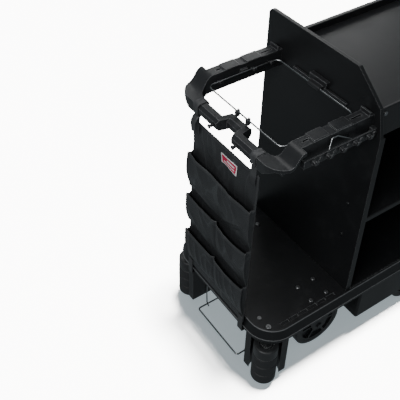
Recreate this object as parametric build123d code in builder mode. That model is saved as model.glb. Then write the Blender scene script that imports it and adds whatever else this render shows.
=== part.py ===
from build123d import *
import os
from math import atan, degrees

os.makedirs("parts", exist_ok=True)

# A two-bag housekeeping cart. Millimetres. X runs along the cart, Y across it and Z up from the floor.
# The origin is on the floor under the middle of the deck. Everything is laid out from one corner of
# the deck (the left end and the front side), and mirrored to the other ends and sides.

# Deck
deck_length = 1524.0
deck_width = 559.0
deck_top = 310.0
deck_depth = 60.0
deck_corner = 100.0
deck_skin = 8.0
deck_wall = 16.0
rib = 4.0
rib_pitch = 127.0
bead_low = 16.0
bead_high = 24.0
rim_slope = 11.0

# Cabinet between the two bag bays
bay_length = 363.0
panel_thick = 12.0
post_depth = 21.0
panel_front_inset = 20.0
panel_back_inset = 18.0
panel_top = 1162.0
panel_shoulder = 1076.0
shelf_top = 656.0
shelf_thick = 20.0
tray_top = 1010.0
tray_thick = 6.0
tray_wall = 8.0
tray_gap = 0.5
back_thick = 8.0
back_top = 1035.0
cleat = 12.0

# Bag arms and handle bars
arm_top = 1050.0
arm_depth = 60.0
arm_inset = 58.0
arm_width = 38.0
arm_wall = 4.0
pad_rise = 4.0
wing_inset = 36.0
wing_length = 98.0
elbow_corner = 62.0
wing_thick = 11.0
bar_inset = 5.0
bar_size = 38.0
bar_height = 992.0
bar_chamfer = 10.0
elbow_end = 128.0
jog_reach = 33.0
jog_width = 78.0
jog_notch = 58.0
peg_spread = 57.0
peg_reach = 11.0
cradle_top = 1033.0
spigot_radius = 12.0
spigot_length = 24.0

# Bag frames
wire_radius = 2.5
frame_height = 1028.0
frame_near = 71.0
frame_far = 338.0
frame_inset = 107.0
frame_corner = 20.0

# Hook rails beside the bag arms
rail_height = 1000.0
rail_depth = 26.0
rail_thick = 4.0
hook_count = 5
first_hook = 130.0
hook_pitch = 50.0

# Casters, fixed wheels and corner rollers
wheel_radius = 100.0
tread_width = 32.0
tyre_thick = 18.0
hub_width = 38.0
axle_radius = 6.0
caster_x = 270.0
caster_y = 88.0
caster_trail = 45.0
bolt_pitch = 68.0
plate_size = 95.0
plate_thick = 4.0
kingpin_radius = 8.0
crown_thick = 20.0
fork_thick = 5.0
fairing_length = 644.0
fairing_width = 85.0
fairing_inset = 10.0
fairing_depth = 135.0
fairing_wall = 5.0
leg_near = 15.0
leg_far = 118.0
leg_bottom = 55.0
leg_notch = 53.0
leg_wall = 5.0
roller_inset = 49.0
roller_radius = 44.0
ring_height = 46.0
ring_count = 3
ring_bottom = 40.0
ring_thick = 12.0
cap_height = 44.0

# Vacuum rack under the left end
rack_wire = 3.0
rack_hinge_x = 120.0
rack_hinge_drop = 15.0
rack_height = 45.0
rack_reach = 106.0
rack_half_width = 122.5

# Hanging organizer on the left end
sheet_thick = 3.0
sheet_width = 322.0
sheet_top = 943.0
sheet_bottom = 300.0
sheet_top_x = 12.5
pocket_lips = (816.0, 641.0, 476.0)
pocket_floors = (650.0, 485.0, 332.0)
pocket_reach = 18.0
pocket_wall = 2.5
strap_width = 25.0
strap_thick = 2.0

# Clearances
running = 0.05
loose = 0.1
seat = 0.3

# Places worked out from the sizes above
left = -deck_length / 2
front = -deck_width / 2
deck_bottom = deck_top - deck_depth
arm_bottom = arm_top - arm_depth
cabinet_length = deck_length - 2 * bay_length
cabinet_inside = cabinet_length - 2 * panel_thick
bar_low = bar_height - bar_size / 2
bar_x = left + bar_inset + bar_size / 2
tyre_inner = wheel_radius - tyre_thick
crown_top = deck_bottom - plate_thick - crown_thick
crown_low = crown_top - crown_thick
leg_flange = cleat
cap_top = ring_bottom + ring_count * ring_height + cap_height
rack_pivot = deck_bottom - rack_hinge_drop
frame_pivot_x = left + frame_far
sheet_low_x = left - sheet_thick - seat
sheet_bend = deck_top + 20
sheet_slope = (left + sheet_top_x - sheet_low_x) / (sheet_top - sheet_bend)
pocket_out = sheet_low_x + (min(pocket_lips) - sheet_bend) * sheet_slope - seat - pocket_reach
peg_out = left + bar_inset - peg_reach
origin_shift = (peg_out - min(peg_out, pocket_out)) / 2
corners = [(-1, -1), (-1, 1), (1, -1), (1, 1)]
corner_names = ["left_front", "left_back", "right_front", "right_back"]


def to_corner(shape, end, side):
    """Mirror a piece made at the left front corner to another end and side."""
    if end > 0:
        shape = mirror(shape, about=Plane.YZ)
    if side > 0:
        shape = mirror(shape, about=Plane.XZ)
    return shape


def save(shape, label):
    """Place the piece so that the origin is under the middle of the whole cart, and write it."""
    placed = shape.moved(Location((origin_shift, 0, 0)))
    placed.label = label
    export_step(placed, f"parts/{label}.step")


def save_each_corner(shape, name):
    for (end, side), corner in zip(corners, corner_names):
        save(to_corner(shape, end, side), f"{name}_{corner}")


def save_all_corners(shape, label):
    """Put the four mirrored copies of a small fitting in one node, as separate solids."""
    copies = [to_corner(shape, end, side) for end, side in corners]
    save(Compound(children=copies), label)


def make_deck():
    inner_length = deck_length - 2 * deck_wall
    inner_width = deck_width - 2 * deck_wall
    leg_pad = leg_far + deck_wall
    fairing_y = front + fairing_inset + fairing_width / 2
    with BuildPart() as deck:
        with BuildSketch(Plane.XY.offset(deck_bottom)):
            RectangleRounded(deck_length - 14, deck_width - 14, deck_corner - 7)
        extrude(amount=bead_high)
        with BuildSketch(Plane.XY.offset(deck_bottom + bead_low)):
            RectangleRounded(deck_length, deck_width, deck_corner)
        extrude(amount=bead_high - bead_low)
        with BuildSketch(Plane.XY.offset(deck_bottom + bead_high)):
            RectangleRounded(deck_length - 3, deck_width - 3, deck_corner - 1.5)
        extrude(amount=deck_depth - bead_high, taper=degrees(atan(rim_slope / (deck_depth - bead_high))))
        top_edges = deck.faces().sort_by(Axis.Z)[-1].outer_wire().edges()
        fillet(top_edges, radius=5)
        with BuildSketch(Plane.XY.offset(deck_bottom)):
            RectangleRounded(inner_length, inner_width, deck_corner - deck_wall)
            columns = int(inner_length / rib_pitch) // 2 * 2 + 1
            with GridLocations(inner_length / columns, 0, columns - 1, 1):
                Rectangle(rib, inner_width, mode=Mode.SUBTRACT)
            with GridLocations(0, rib_pitch, 1, 3):
                Rectangle(inner_length, rib, mode=Mode.SUBTRACT)
            for end, side in corners:
                with Locations((end * (-left - leg_pad / 2), side * (-front - leg_pad / 2))):
                    Rectangle(leg_pad, leg_pad, mode=Mode.SUBTRACT)
                with Locations((end * (-left - caster_x), side * (-front - caster_y))):
                    Rectangle(plate_size + 8, plate_size + 8, mode=Mode.SUBTRACT)
            for side in (-1, 1):
                with Locations((0, side * -fairing_y)):
                    Rectangle(fairing_length, fairing_width, mode=Mode.SUBTRACT)
                with Locations((-side * (-left - rack_hinge_x), 0)):
                    Rectangle(3 * cleat, 2 * rack_half_width + 4 * cleat, mode=Mode.SUBTRACT)
        extrude(amount=deck_depth - deck_skin, mode=Mode.SUBTRACT)
        for end, side in corners:
            with Locations((end * (-left - 205.5), side * (-front - 34), deck_top)):
                with GridLocations(40, 0, 6, 1):
                    Box(34, 12, 2 * 4, mode=Mode.SUBTRACT)
            with Locations((end * (-left - roller_inset), side * (-front - roller_inset), deck_top)):
                Hole(axle_radius + loose, depth=deck_depth)
            with Locations((end * (-left - 46), side * (-front - 94), deck_top)):
                Hole(2.5 + loose, depth=deck_depth)
            with Locations((end * (-left - caster_x), side * (-front - caster_y), deck_top)):
                with GridLocations(bolt_pitch, bolt_pitch, 2, 2):
                    Hole(5 + loose, depth=deck_depth)
        with BuildSketch(Plane.XY.offset(deck_top)):
            with Locations((0, front + rim_slope + 9)):
                Rectangle(cabinet_length - 2 * post_depth, 4)
        extrude(amount=4)
    save(deck.part, "deck")


def make_deck_screws():
    with BuildPart() as leg_screw:
        with Locations((left + 46, front + 94, deck_top)):
            Cylinder(7, 3, align=(Align.CENTER, Align.CENTER, Align.MIN))
            Cylinder(2.5, deck_depth + 10, align=(Align.CENTER, Align.CENTER, Align.MAX))
            Box(8, 1.4, 2 * 1.6, align=(Align.CENTER, Align.CENTER, Align.MIN), mode=Mode.SUBTRACT)
    save_all_corners(leg_screw.part, "deck_screws")


def make_caster_bolts():
    bolt_low = deck_bottom - plate_thick - 10
    with BuildPart() as bolts:
        with Locations((left + caster_x, front + caster_y, deck_top)):
            with GridLocations(bolt_pitch, bolt_pitch, 2, 2):
                Cylinder(8, 4.5, align=(Align.CENTER, Align.CENTER, Align.MIN))
                Cylinder(5, deck_top - bolt_low, align=(Align.CENTER, Align.CENTER, Align.MAX))
        heads = bolts.faces().filter_by(Axis.Z).group_by(Axis.Z)[-1].edges()
        fillet(heads, radius=2)
        with BuildSketch(Plane.XY.offset(deck_bottom - plate_thick)):
            with Locations((left + caster_x, front + caster_y)):
                with GridLocations(bolt_pitch, bolt_pitch, 2, 2):
                    RegularPolygon(8, 6)
                    Circle(5 + loose, mode=Mode.SUBTRACT)
        extrude(amount=-7)
    save_all_corners(bolts.part, "caster_bolts")


def make_corner_legs():
    middle = (leg_near + leg_far) / 2
    size = leg_far - leg_near
    with BuildPart() as leg:
        with BuildSketch(Plane.XY.offset(leg_bottom)) as outline:
            with Locations((left + middle, front + middle)):
                Rectangle(size, size)
            with Locations((left + roller_inset, front + roller_inset)):
                Circle(leg_notch, mode=Mode.SUBTRACT)
                Rectangle(2 * roller_inset, 2 * roller_inset, align=Align.MAX, mode=Mode.SUBTRACT)
        extrude(amount=deck_bottom - leg_bottom - leg_flange)
        with BuildSketch(Plane.XY.offset(leg_bottom)):
            add(outline.sketch.face())
            offset(amount=-leg_wall, mode=Mode.REPLACE)
        extrude(amount=deck_bottom - leg_bottom - 3 * leg_flange, mode=Mode.SUBTRACT)
        with BuildSketch(Plane.XY.offset(deck_bottom - leg_flange)):
            with Locations((left + leg_far, front + leg_far)):
                Rectangle(leg_far - 28, leg_far - 28, align=Align.MAX)
        extrude(amount=leg_flange)
        flange_corner = leg.edges().filter_by(Axis.Z).sort_by(Axis((left, front, 0), (1, 1, 0)))[0]
        fillet(flange_corner, radius=24)
        with Locations((left + roller_inset, front + roller_inset, deck_bottom)):
            Hole(axle_radius + loose, depth=leg_flange)
        with Locations((left + 46, front + 94, deck_bottom)):
            Hole(2.5 + loose, depth=leg_flange)
    save_each_corner(leg.part, "corner_leg")


def make_rollers():
    ring_bore = roller_radius - ring_thick
    rings_top = ring_bottom + ring_count * ring_height
    with BuildPart() as core:
        with BuildSketch(Plane.XY.offset(ring_bottom)):
            with Locations((left + roller_inset, front + roller_inset)):
                Circle(ring_bore - loose)
        extrude(amount=ring_count * ring_height)
        with BuildSketch(Plane.XY.offset(rings_top)):
            with Locations((left + roller_inset, front + roller_inset)):
                Circle(roller_radius - 1)
        extrude(amount=cap_height)
        fillet(core.edges().filter_by(GeomType.CIRCLE).group_by(Axis.Z)[-1], radius=6)
        with BuildSketch(Plane.XY.offset(cap_top)):
            with Locations((left + roller_inset, front + roller_inset)):
                Circle(26)
                Circle(18, mode=Mode.SUBTRACT)
        extrude(amount=-5, mode=Mode.SUBTRACT)
        with Locations((left + roller_inset, front + roller_inset, cap_top)):
            Hole(axle_radius + running, depth=cap_top)
    save_each_corner(core.part, "roller_core")

    with BuildPart() as rings:
        for index in range(ring_count):
            with BuildSketch(Plane.XY.offset(ring_bottom + index * ring_height)):
                with Locations((left + roller_inset, front + roller_inset)):
                    Circle(roller_radius)
                    Circle(ring_bore, mode=Mode.SUBTRACT)
            extrude(amount=ring_height - 1)
        outer = rings.edges().filter_by(GeomType.CIRCLE).filter_by(lambda edge: edge.radius > ring_bore + 1)
        fillet(outer, radius=4)
    save_each_corner(rings.part, "roller_rings")

    with BuildPart() as axle:
        with Locations((left + roller_inset, front + roller_inset, deck_top)):
            Cylinder(9, 4, align=(Align.CENTER, Align.CENTER, Align.MIN))
            Cylinder(axle_radius, deck_top - ring_bottom + 7, align=(Align.CENTER, Align.CENTER, Align.MAX))
            Box(10, 2, 2 * 2, align=(Align.CENTER, Align.CENTER, Align.MIN), mode=Mode.SUBTRACT)
            Box(2, 10, 2 * 2, align=(Align.CENTER, Align.CENTER, Align.MIN), mode=Mode.SUBTRACT)
        with BuildSketch(Plane.XY.offset(ring_bottom - seat)):
            with Locations((left + roller_inset, front + roller_inset)):
                RegularPolygon(11, 6)
                Circle(axle_radius + loose, mode=Mode.SUBTRACT)
        extrude(amount=-6)
        with BuildSketch(Plane.XY.offset(cap_top + seat)):
            with Locations((left + roller_inset, front + roller_inset)):
                Circle(12)
                Circle(axle_radius + loose, mode=Mode.SUBTRACT)
        extrude(amount=deck_bottom - leg_flange - cap_top - seat)
    save_all_corners(axle.part, "roller_axles")


def make_tyre(x, y):
    """A tyre that stands on the floor under (x, y), turning about a line along Y."""
    half = tread_width / 2
    with BuildPart() as tyre:
        with BuildSketch(Plane((x, y, wheel_radius), x_dir=(0, 1, 0), z_dir=(1, 0, 0))):
            with Locations((0, wheel_radius - tyre_thick / 2)):
                RectangleRounded(tread_width, tyre_thick, 5)
            with Locations((0, tyre_inner + tyre_thick / 4)):
                Rectangle(2 * half, tyre_thick / 2)
        revolve(axis=Axis((x, y, wheel_radius), (0, 1, 0)))
    return tyre.part


def make_hub(x, y):
    """A dished hub with six spokes that fits the tyre's bore."""
    rim = tread_width - 2
    with BuildPart() as hub:
        with BuildSketch(Plane((x, y, wheel_radius), x_dir=(0, 1, 0), z_dir=(1, 0, 0))):
            with Locations((0, (tyre_inner - loose) / 2)):
                Rectangle(10, tyre_inner - loose)
            with Locations((0, tyre_inner - loose)):
                Rectangle(rim, 9, align=(Align.CENTER, Align.MAX))
            Rectangle(hub_width, 18, align=(Align.CENTER, Align.MIN))
        revolve(axis=Axis((x, y, wheel_radius), (0, 1, 0)))
        with BuildSketch(Plane((x, y - rim / 2, wheel_radius), x_dir=(1, 0, 0), z_dir=(0, 1, 0))):
            with PolarLocations(45, 6):
                Rectangle(62, 7)
        extrude(amount=rim)
        with BuildSketch(Plane((x, y - hub_width / 2, wheel_radius), x_dir=(1, 0, 0), z_dir=(0, 1, 0))):
            Circle(axle_radius + running)
        extrude(amount=hub_width, mode=Mode.SUBTRACT)
    return hub.part


def make_casters():
    x = left + caster_x
    y = front + caster_y
    axle_x = x + caster_trail
    with BuildPart() as plate:
        with BuildSketch(Plane.XY.offset(deck_bottom)):
            with Locations((x, y)):
                RectangleRounded(plate_size, plate_size, 8)
                with GridLocations(bolt_pitch, bolt_pitch, 2, 2):
                    Circle(5 + loose, mode=Mode.SUBTRACT)
        extrude(amount=-plate_thick)
        with Locations((x, y, deck_bottom - plate_thick)):
            Cylinder(kingpin_radius, 2 * crown_thick + seat, align=(Align.CENTER, Align.CENTER, Align.MAX))
        with Locations((x, y, crown_low - seat)):
            Cylinder(kingpin_radius + 4, 5, align=(Align.CENTER, Align.CENTER, Align.MAX))
    save_all_corners(plate.part, "caster_plates")

    arm_inner = hub_width / 2 + seat
    with BuildPart() as fork:
        with Locations((x, y, crown_top)):
            Cylinder(32, crown_thick - seat, align=(Align.CENTER, Align.CENTER, Align.MIN))
        with BuildSketch(Plane.XY.offset(crown_top)):
            with Locations((x + 20, y)):
                RectangleRounded(96, 2 * (arm_inner + fork_thick), 12)
        extrude(amount=-crown_thick)
        with BuildSketch(Plane.XZ.offset(-(y - arm_inner - fork_thick))):
            with BuildLine():
                Polyline((x - 28, crown_top), (x + 68, crown_top), (axle_x + 40, 130), (axle_x + 24, 82),
                         (axle_x - 24, 82), (x - 28, crown_low), (x - 28, crown_top))
            make_face()
        extrude(amount=-fork_thick)
        fillet(fork.edges().filter_by(Axis.Y).group_by(Axis.Z)[0], radius=18)
        mirror(about=Plane.XZ.offset(-y))
        with BuildSketch(Plane.XZ.offset(-(y - arm_inner - fork_thick))):
            with Locations((axle_x, wheel_radius)):
                Circle(axle_radius + loose)
        extrude(amount=-2 * (arm_inner + fork_thick), mode=Mode.SUBTRACT)
        with Locations((x, y, deck_bottom - plate_thick)):
            Hole(kingpin_radius + running, depth=2 * crown_thick)
    with BuildPart() as axle:
        with Locations((axle_x, y, wheel_radius)):
            Cylinder(axle_radius, 2 * (arm_inner + fork_thick) + 1, rotation=(90, 0, 0))
        for side in (-1, 1):
            with Locations((axle_x, y + side * (arm_inner + fork_thick + 2.5), wheel_radius)):
                Cylinder(11, 5, rotation=(90, 0, 0))
    save_each_corner(Compound(children=[fork.part, axle.part]), "caster_fork")
    save_each_corner(make_tyre(axle_x, y), "caster_tyre")
    save_each_corner(make_hub(axle_x, y), "caster_hub")


def make_centre_wheels():
    y = front + fairing_inset + fairing_width / 2
    low = deck_bottom - fairing_depth
    with BuildPart() as fairing:
        with BuildSketch(Plane.XY.offset(low)):
            with Locations((0, y)):
                RectangleRounded(fairing_length, fairing_width, 8)
        extrude(amount=fairing_depth)
        with BuildSketch(Plane.XZ.offset(-(y - fairing_width / 2))):
            with Locations((0, wheel_radius)):
                Circle(28)
            with Locations((0, wheel_radius)):
                Rectangle(56, low - wheel_radius + cleat, align=(Align.CENTER, Align.MIN))
        extrude(amount=-fairing_width)
        with BuildSketch(Plane.XY.offset(wheel_radius - 30)):
            with Locations((0, y)):
                Rectangle(fairing_length - 2 * fairing_wall, fairing_width - 2 * fairing_wall)
        extrude(amount=deck_bottom - fairing_wall - wheel_radius + 30, mode=Mode.SUBTRACT)
        with BuildSketch(Plane.XZ.offset(-(y - fairing_width / 2))):
            with Locations((0, wheel_radius)):
                Circle(axle_radius + loose)
        extrude(amount=-fairing_width, mode=Mode.SUBTRACT)
    with BuildPart() as axle:
        with Locations((0, y, wheel_radius)):
            Cylinder(axle_radius, fairing_width + 1, rotation=(90, 0, 0))
        for side in (-1, 1):
            with Locations((0, y + side * (fairing_width / 2 + 2), wheel_radius)):
                Cylinder(11, 4, rotation=(90, 0, 0))
    sleeve_length = fairing_width / 2 - fairing_wall - hub_width / 2 - seat
    with BuildPart() as sleeves:
        for side in (-1, 1):
            middle = y + side * (fairing_width / 2 - fairing_wall - sleeve_length / 2)
            with Locations((0, middle, wheel_radius)):
                Cylinder(10, sleeve_length, rotation=(90, 0, 0))
                Cylinder(axle_radius + loose, sleeve_length, rotation=(90, 0, 0), mode=Mode.SUBTRACT)
    axles = []
    for side, word in ((-1, "front"), (1, "back")):
        save(to_corner(fairing.part, -1, side), f"wheel_fairing_{word}")
        save(to_corner(make_tyre(0, y), -1, side), f"centre_tyre_{word}")
        save(to_corner(make_hub(0, y), -1, side), f"centre_hub_{word}")
        axles += [to_corner(axle.part, -1, side), to_corner(sleeves.part, -1, side)]
    save(Compound(children=axles), "centre_axles")


def make_end_panels():
    inner = left + bay_length
    y_front = front + panel_front_inset
    y_back = -front - panel_back_inset
    ledge_front = front + 60
    ledge_length = y_back - back_thick - 20 - ledge_front
    with BuildPart() as panel:
        with BuildSketch(Plane.YZ.offset(inner)) as profile:
            with BuildLine():
                Polyline((y_front, deck_top), (y_back, deck_top), (y_back, panel_top),
                         (front + 145, panel_top), (front + 42, panel_shoulder),
                         (y_front, panel_shoulder - 96), (y_front, deck_top))
            make_face()
            fillet(profile.vertices().group_by(Axis.Y)[-1].sort_by(Axis.Z)[-1], radius=20)
        extrude(amount=panel_thick)
        with BuildSketch(Plane.YZ.offset(inner)):
            with BuildLine():
                Polyline((y_front, deck_top), (y_front + 20, deck_top), (y_front + 20, panel_shoulder - 96),
                         (y_front, panel_shoulder - 96), (y_front, deck_top))
            make_face()
        extrude(amount=post_depth)
        for top in (shelf_top - shelf_thick, tray_top - tray_thick):
            with Locations((inner + panel_thick, ledge_front, top)):
                Box(cleat, ledge_length, cleat, align=(Align.MIN, Align.MIN, Align.MAX))
    for end, word in ((-1, "left"), (1, "right")):
        save(to_corner(panel.part, end, -1), f"end_panel_{word}")


def make_cabinet():
    y_front = front + panel_front_inset
    y_back = -front - panel_back_inset
    behind_post = y_front + 20 + seat
    with BuildPart() as back:
        with Locations((0, y_back, deck_top)):
            Box(cabinet_inside, back_thick, back_top - deck_top, align=(Align.CENTER, Align.MAX, Align.MIN))
        with Locations((0, y_back - back_thick, back_top)):
            Box(cabinet_inside, back_thick + 9, 22, align=(Align.CENTER, Align.MIN, Align.MAX))
        fillet(back.faces().sort_by(Axis.Z)[-1].edges().filter_by(Axis.X), radius=3)
    save(back.part, "back_panel")

    with BuildPart() as shelf:
        with Locations((0, behind_post, shelf_top)):
            Box(cabinet_inside, y_back - back_thick - behind_post, shelf_thick,
                align=(Align.CENTER, Align.MIN, Align.MAX))
        with Locations((0, y_front, shelf_top)):
            Box(cabinet_length - 2 * post_depth, 20 + 2 * seat, shelf_thick,
                align=(Align.CENTER, Align.MIN, Align.MAX))
        openings = shelf.faces().sort_by(Axis.Z)[0]
        offset(amount=-4, openings=openings)
        fillet(shelf.faces().sort_by(Axis.Y)[0].edges().filter_by(Axis.X), radius=3)
    save(shelf.part, "shelf")

    wall_y = front + 42
    with BuildPart() as tray:
        with Locations((0, wall_y + tray_wall + tray_gap, tray_top)):
            Box(cabinet_inside - 2 * tray_gap, y_back - back_thick - wall_y - tray_wall - 2 * tray_gap,
                tray_thick, align=(Align.CENTER, Align.MIN, Align.MAX))
    save(tray.part, "tray_floor")

    with BuildPart() as wall:
        with Locations((0, wall_y, tray_top - 40)):
            Box(cabinet_inside, tray_wall, panel_shoulder - tray_top + 36,
                align=(Align.CENTER, Align.MIN, Align.MIN))
        fillet(wall.faces().sort_by(Axis.Z)[-1].edges().filter_by(Axis.X), radius=2.5)
    save(wall.part, "tray_front")


def make_panel_screws():
    """Screws that hold the shelf and the tray to the end panels."""
    screws = []
    for end in (-1, 1):
        with BuildPart() as heads:
            for side in (-1, 1):
                for z in (shelf_top - 118, shelf_top + 22):
                    with Locations((left + bay_length, side * (-front - 87), z)):
                        Cylinder(5, 2.5, rotation=(0, -90, 0), align=(Align.CENTER, Align.CENTER, Align.MIN))
        screws.append(to_corner(heads.part, end, -1))
    with BuildPart() as tray_screws:
        for end in (-1, 1):
            with Locations((end * (cabinet_inside / 2 - 12), front + 42, panel_shoulder - 22)):
                Cylinder(7, 3, rotation=(90, 0, 0), align=(Align.CENTER, Align.CENTER, Align.MIN))
    screws.append(tray_screws.part)
    save(Compound(children=screws), "panel_screws")


def make_arm():
    """A moulded arm and its elbow, which slopes down from the arm to the handle bar."""
    arm_y = front + arm_inset
    arm_far_y = arm_y + arm_width
    bar_out = left + bar_inset
    bar_in = bar_out + bar_size
    inner_bend = 30.0
    bar_top = bar_low + bar_size
    with BuildPart() as arm:
        with BuildSketch(Plane.XY.offset(bar_low)):
            with BuildLine():
                wing = Line((left + wing_length, arm_y + 4), (left + wing_length, front + wing_inset))
                side = Line(wing @ 1, (bar_out + elbow_corner, front + wing_inset))
                bend = TangentArc(side @ 1, (bar_out, front + wing_inset + elbow_corner), tangent=(-1, 0))
                out = Line(bend @ 1, (bar_out, front + elbow_end))
                end = Line(out @ 1, (bar_in, front + elbow_end))
                inner = Line(end @ 1, (bar_in, arm_far_y + inner_bend))
                turn = TangentArc(inner @ 1, (bar_in + inner_bend, arm_far_y), tangent=(0, -1))
                root = Line(turn @ 1, (left + wing_length + 20, arm_far_y))
                across = Line(root @ 1, (left + wing_length + 20, arm_y + 4))
                Line(across @ 1, wing @ 0)
            make_face()
        extrude(amount=arm_top - bar_low)
        low = bar_low - 5
        high = arm_top + 5
        with BuildSketch(Plane.XZ.offset(-front)):
            with BuildLine():
                start = Polyline((left - 20, high), (left - 20, bar_top), (bar_in, bar_top))
                rise = Spline(start @ 1, (left + wing_length, arm_top), tangents=[(1, 0), (1, 0)])
                Polyline(rise @ 1, (left + wing_length + 40, arm_top), (left + wing_length + 40, high), start @ 0)
            make_face()
        extrude(amount=-2 * elbow_end, mode=Mode.SUBTRACT)
        with BuildSketch(Plane.XZ.offset(-front)):
            with BuildLine():
                under = Line((bar_in, bar_low), (left + wing_length + 40, bar_low))
                riser = Line(under @ 1, (left + wing_length + 40, arm_bottom))
                back = Line(riser @ 1, (left + wing_length - 10, arm_bottom))
                Spline(back @ 1, under @ 0, tangents=[(-1, 0), (-1, 0)])
            make_face()
        extrude(amount=-2 * elbow_end, mode=Mode.SUBTRACT)
        with BuildSketch(Plane.XZ.offset(-front)):
            with BuildLine():
                lip = Polyline((left - 20, low), (left - 20, bar_top - wing_thick), (bar_in, bar_top - wing_thick))
                sweep_up = Spline(lip @ 1, (left + wing_length, arm_top - wing_thick), tangents=[(1, 0), (1, 0)])
                Polyline(sweep_up @ 1, (left + wing_length, low), lip @ 0)
            make_face()
        extrude(amount=-arm_inset - 6, mode=Mode.SUBTRACT)
        with BuildSketch(Plane.YZ.offset(left)):
            with BuildLine():
                Polyline((arm_y, low), (arm_y + 6, bar_top - wing_thick), (arm_y + 44, bar_low), (arm_y + 44, low),
                         (arm_y, low))
            make_face()
        extrude(amount=bar_inset + bar_size, mode=Mode.SUBTRACT)
    with BuildPart() as rail:
        reach = bay_length - wing_length
        with Locations((left + wing_length, arm_y, arm_bottom)):
            Box(reach, arm_width, arm_depth, align=Align.MIN)
        with Locations((left + wing_length + 24, arm_y + arm_wall, arm_bottom)):
            Box(reach - 24 - arm_wall, arm_width - 2 * arm_wall, arm_depth - arm_wall,
                align=Align.MIN, mode=Mode.SUBTRACT)
        for start, length in ((143, 53), (224, 56)):
            with Locations((left + start, arm_y + 2, arm_top)):
                Box(length, arm_width, pad_rise, align=Align.MIN)
        for start in (117, 311.5):
            with Locations((left + start, arm_y + arm_width / 2 + 1.5, arm_top)):
                Box(41, 6, 24, mode=Mode.SUBTRACT)
        with Locations((left + 343, arm_y, arm_top)):
            Box(4, arm_width, 14, align=Align.MIN)
        with Locations((left + 210, arm_far_y, arm_top - 22)):
            Box(24, 8, 14, align=(Align.CENTER, Align.MIN, Align.CENTER))
    body = arm.part + rail.part
    with BuildPart() as whole:
        add(body)
        with Locations((bar_x, front + elbow_end, bar_height)):
            Cylinder(spigot_radius + loose, spigot_length + 1, rotation=(90, 0, 0),
                     align=(Align.CENTER, Align.CENTER, Align.MIN), mode=Mode.SUBTRACT)
    return whole.part


def make_handle_bar():
    bar_out = left + bar_inset
    bar_in = bar_out + bar_size
    half = -front - elbow_end
    jog = jog_width / 2
    notch = jog_notch / 2
    slope = 8.0
    with BuildPart() as bar:
        with BuildSketch(Plane.XY.offset(bar_low)):
            with BuildLine():
                Polyline((bar_out, -half), (bar_out, -notch - slope), (bar_out + jog_reach, -notch),
                         (bar_out + jog_reach, notch), (bar_out, notch + slope), (bar_out, half),
                         (bar_in, half), (bar_in, jog + slope), (bar_in + jog_reach, jog),
                         (bar_in + jog_reach, -jog), (bar_in, -jog - slope), (bar_in, -half),
                         (bar_out, -half))
            make_face()
        extrude(amount=bar_size)
        rims = bar.faces().filter_by(Axis.Z).edges().filter_by(Axis.Y)
        chamfer(rims, length=bar_chamfer)
        for side in (-1, 1):
            with Locations((bar_x, side * half, bar_height)):
                Cylinder(spigot_radius, 2 * spigot_length, rotation=(90, 0, 0))
            with Locations((bar_out + bar_chamfer, side * peg_spread, bar_height - 8)):
                Cylinder(4.5, bar_chamfer + peg_reach, rotation=(0, -90, 0),
                         align=(Align.CENTER, Align.CENTER, Align.MIN))
            with Locations((bar_out - peg_reach, side * peg_spread, bar_height - 8)):
                Cylinder(7, 3, rotation=(0, 90, 0), align=(Align.CENTER, Align.CENTER, Align.MIN))
            with Locations((left + frame_near, side * 25, bar_height + bar_size / 2)):
                Box(12, 9, cradle_top - bar_height - bar_size / 2, align=(Align.CENTER, Align.CENTER, Align.MIN))
            with Locations((left + frame_near, side * 25, cradle_top)):
                Box(2 * (wire_radius + seat), 9, cradle_top - frame_height + wire_radius + seat,
                    align=(Align.CENTER, Align.CENTER, Align.MAX), mode=Mode.SUBTRACT)
    return bar.part


def make_bag_frame():
    """A closed loop of wire that a bag is folded over. Its far run turns in the hinge block."""
    near_x = left + frame_near
    edge_y = front + frame_inset
    with BuildPart() as frame:
        with BuildLine():
            path = FilletPolyline((frame_pivot_x, edge_y, frame_height), (near_x, edge_y, frame_height),
                                  (near_x, -edge_y, frame_height), (frame_pivot_x, -edge_y, frame_height),
                                  radius=frame_corner, close=True)
        with BuildSketch(Plane(path @ 0, z_dir=path % 0)):
            Circle(wire_radius)
        sweep()
    return frame.part


def make_hinge_blocks():
    """The block that each bag frame turns in, and the ledge that runs behind it on the end panel."""
    panel_x = left + bay_length
    with BuildPart() as block:
        with Locations((panel_x, 0, frame_height)):
            Box(panel_x - frame_pivot_x + 7, 50, 13, align=(Align.MAX, Align.CENTER, Align.CENTER))
        fillet(block.edges().filter_by(Axis.Y).group_by(Axis.X)[0], radius=4)
        with Locations((frame_pivot_x, 0, frame_height)):
            Cylinder(wire_radius + running, 80, rotation=(90, 0, 0), mode=Mode.SUBTRACT)
        with Locations((panel_x, 0, frame_height + 6)):
            Box(14, 74, 17, align=(Align.MAX, Align.CENTER, Align.MIN))
        fillet(block.edges().filter_by(Axis.Z).group_by(Axis.X)[-3], radius=4)
        with Locations((panel_x, 0, frame_height - 8)):
            Box(7, 236, 8, align=(Align.MAX, Align.CENTER, Align.CENTER))
    blocks = [to_corner(block.part, end, -1) for end in (-1, 1)]
    save(Compound(children=blocks), "hinge_blocks")


def make_frame_clips():
    """Small hooks on the arms' inner faces that the bag frame rests on."""
    arm_face = front + arm_inset + arm_width
    reach = frame_inset - arm_inset - arm_width + wire_radius + 3
    rest_z = frame_height - wire_radius - seat
    with BuildPart() as clips:
        for x in (left + 118, left + 245, left + 312):
            with Locations((x, arm_face, rest_z)):
                Box(11, reach, 4, align=(Align.CENTER, Align.MIN, Align.MAX))
            with Locations((x, arm_face + reach, rest_z - 4)):
                Box(11, 3, 9, align=(Align.CENTER, Align.MAX, Align.MIN))
    save_all_corners(clips.part, "frame_clips")


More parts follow.
